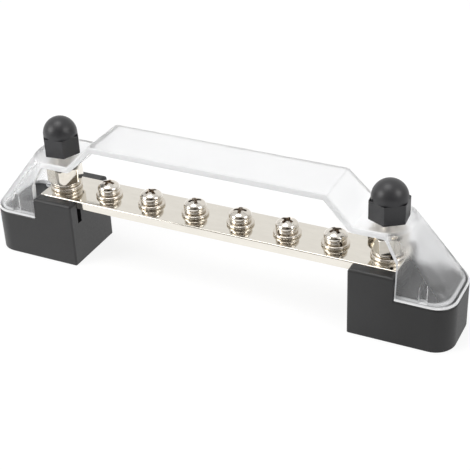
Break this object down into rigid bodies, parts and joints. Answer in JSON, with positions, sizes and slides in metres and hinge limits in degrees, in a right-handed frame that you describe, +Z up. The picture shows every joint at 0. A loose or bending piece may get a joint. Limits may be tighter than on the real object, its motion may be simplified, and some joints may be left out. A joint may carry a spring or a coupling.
{
  "type": "power distribution block",
  "caption": "Plated bus bar on two black moulded feet with a row of screw terminals, an end stud at each side and a clear cover held by dome nuts",
  "frame": {"origin": "on the mounting surface, midway between the two feet", "axes": "X along the bar, Y to the back, Z up away from the mounting surface"},
  "size_m": [0.1508, 0.022, 0.0455],
  "materials": {
    "black_plastic": "satin moulded",
    "cap_plastic": "satin moulded",
    "bar_plate": "satin plated",
    "screw_plate": "bright plated",
    "nut_plate": "bright plated, slightly golden",
    "clear_plastic": "clear moulded"
  },
  "bodies": {
    "base": {"base_left": "black_plastic", "base_right": "black_plastic", "bus_bar": "bar_plate", "stud_left": "screw_plate", "stud_right": "screw_plate"},
    "cover": {"cover": "clear_plastic"},
    "cap_left": {"cap_nut_left": "cap_plastic"},
    "stud_washers_left": {"stud_flat_washer_left": "screw_plate", "stud_spring_washer_left": "screw_plate"},
    "stud_nut_left": {"stud_nut_left": "nut_plate"},
    "cap_right": {"cap_nut_right": "cap_plastic"},
    "stud_washers_right": {"stud_flat_washer_right": "screw_plate", "stud_spring_washer_right": "screw_plate"},
    "stud_nut_right": {"stud_nut_right": "nut_plate"},
    "terminal_washers_1": {"screw_flat_washer_1": "screw_plate", "screw_spring_washer_1": "screw_plate"},
    "terminal_screw_1": {"terminal_screw_1": "screw_plate"},
    "terminal_washers_2": {"screw_flat_washer_2": "screw_plate", "screw_spring_washer_2": "screw_plate"},
    "terminal_screw_2": {"terminal_screw_2": "screw_plate"},
    "terminal_washers_3": {"screw_flat_washer_3": "screw_plate", "screw_spring_washer_3": "screw_plate"},
    "terminal_screw_3": {"terminal_screw_3": "screw_plate"},
    "terminal_washers_4": {"screw_flat_washer_4": "screw_plate", "screw_spring_washer_4": "screw_plate"},
    "terminal_screw_4": {"terminal_screw_4": "screw_plate"},
    "terminal_washers_5": {"screw_flat_washer_5": "screw_plate", "screw_spring_washer_5": "screw_plate"},
    "terminal_screw_5": {"terminal_screw_5": "screw_plate"},
    "terminal_washers_6": {"screw_flat_washer_6": "screw_plate", "screw_spring_washer_6": "screw_plate"},
    "terminal_screw_6": {"terminal_screw_6": "screw_plate"}
  },
  "joints": [
    {"name": "cover_lift", "type": "slide", "parent": "base", "child": "cover", "axis": [0, 0, 1], "range_m": [0, 0.031]},
    {"name": "cap_turn_left", "type": "hinge", "parent": "cover", "child": "cap_left", "pos_m": [-0.0532, 0, 0.034], "axis": [0, 0, 1], "range_deg": [0, 3240]},
    {"name": "stud_nut_rise_left", "type": "slide", "parent": "base", "child": "stud_washers_left", "axis": [0, 0, 1], "range_m": [0, 0.001]},
    {"name": "stud_nut_turn_left", "type": "hinge", "parent": "stud_washers_left", "child": "stud_nut_left", "pos_m": [-0.0532, 0, 0.0244], "axis": [0, 0, 1], "range_deg": [0, 360]},
    {"name": "cap_turn_right", "type": "hinge", "parent": "cover", "child": "cap_right", "pos_m": [0.0532, 0, 0.034], "axis": [0, 0, 1], "range_deg": [0, 3240]},
    {"name": "stud_nut_rise_right", "type": "slide", "parent": "base", "child": "stud_washers_right", "axis": [0, 0, 1], "range_m": [0, 0.001]},
    {"name": "stud_nut_turn_right", "type": "hinge", "parent": "stud_washers_right", "child": "stud_nut_right", "pos_m": [0.0532, 0, 0.0244], "axis": [0, 0, 1], "range_deg": [0, 360]},
    {"name": "terminal_rise_1", "type": "slide", "parent": "base", "child": "terminal_washers_1", "axis": [0, 0, 1], "range_m": [0, 0.00525]},
    {"name": "terminal_turn_1", "type": "hinge", "parent": "terminal_washers_1", "child": "terminal_screw_1", "pos_m": [-0.0375, 0, 0.0238], "axis": [0, 0, 1], "range_deg": [0, 2700]},
    {"name": "terminal_rise_2", "type": "slide", "parent": "base", "child": "terminal_washers_2", "axis": [0, 0, 1], "range_m": [0, 0.00525]},
    {"name": "terminal_turn_2", "type": "hinge", "parent": "terminal_washers_2", "child": "terminal_screw_2", "pos_m": [-0.0225, 0, 0.0238], "axis": [0, 0, 1], "range_deg": [0, 2700]},
    {"name": "terminal_rise_3", "type": "slide", "parent": "base", "child": "terminal_washers_3", "axis": [0, 0, 1], "range_m": [0, 0.00525]},
    {"name": "terminal_turn_3", "type": "hinge", "parent": "terminal_washers_3", "child": "terminal_screw_3", "pos_m": [-0.0075, 0, 0.0238], "axis": [0, 0, 1], "range_deg": [0, 2700]},
    {"name": "terminal_rise_4", "type": "slide", "parent": "base", "child": "terminal_washers_4", "axis": [0, 0, 1], "range_m": [0, 0.00525]},
    {"name": "terminal_turn_4", "type": "hinge", "parent": "terminal_washers_4", "child": "terminal_screw_4", "pos_m": [0.0075, 0, 0.0238], "axis": [0, 0, 1], "range_deg": [0, 2700]},
    {"name": "terminal_rise_5", "type": "slide", "parent": "base", "child": "terminal_washers_5", "axis": [0, 0, 1], "range_m": [0, 0.00525]},
    {"name": "terminal_turn_5", "type": "hinge", "parent": "terminal_washers_5", "child": "terminal_screw_5", "pos_m": [0.0225, 0, 0.0238], "axis": [0, 0, 1], "range_deg": [0, 2700]},
    {"name": "terminal_rise_6", "type": "slide", "parent": "base", "child": "terminal_washers_6", "axis": [0, 0, 1], "range_m": [0, 0.00525]},
    {"name": "terminal_turn_6", "type": "hinge", "parent": "terminal_washers_6", "child": "terminal_screw_6", "pos_m": [0.0375, 0, 0.0238], "axis": [0, 0, 1], "range_deg": [0, 2700]}
  ],
  "couplings": [
    {"joint": "stud_nut_turn_left", "follows": "stud_nut_rise_left", "rad_per_m": 6283.2},
    {"joint": "stud_nut_turn_right", "follows": "stud_nut_rise_right", "rad_per_m": 6283.2},
    {"joint": "terminal_turn_1", "follows": "terminal_rise_1", "rad_per_m": 8976},
    {"joint": "terminal_turn_2", "follows": "terminal_rise_2", "rad_per_m": 8976},
    {"joint": "terminal_turn_3", "follows": "terminal_rise_3", "rad_per_m": 8976},
    {"joint": "terminal_turn_4", "follows": "terminal_rise_4", "rad_per_m": 8976},
    {"joint": "terminal_turn_5", "follows": "terminal_rise_5", "rad_per_m": 8976},
    {"joint": "terminal_turn_6", "follows": "terminal_rise_6", "rad_per_m": 8976}
  ]
}
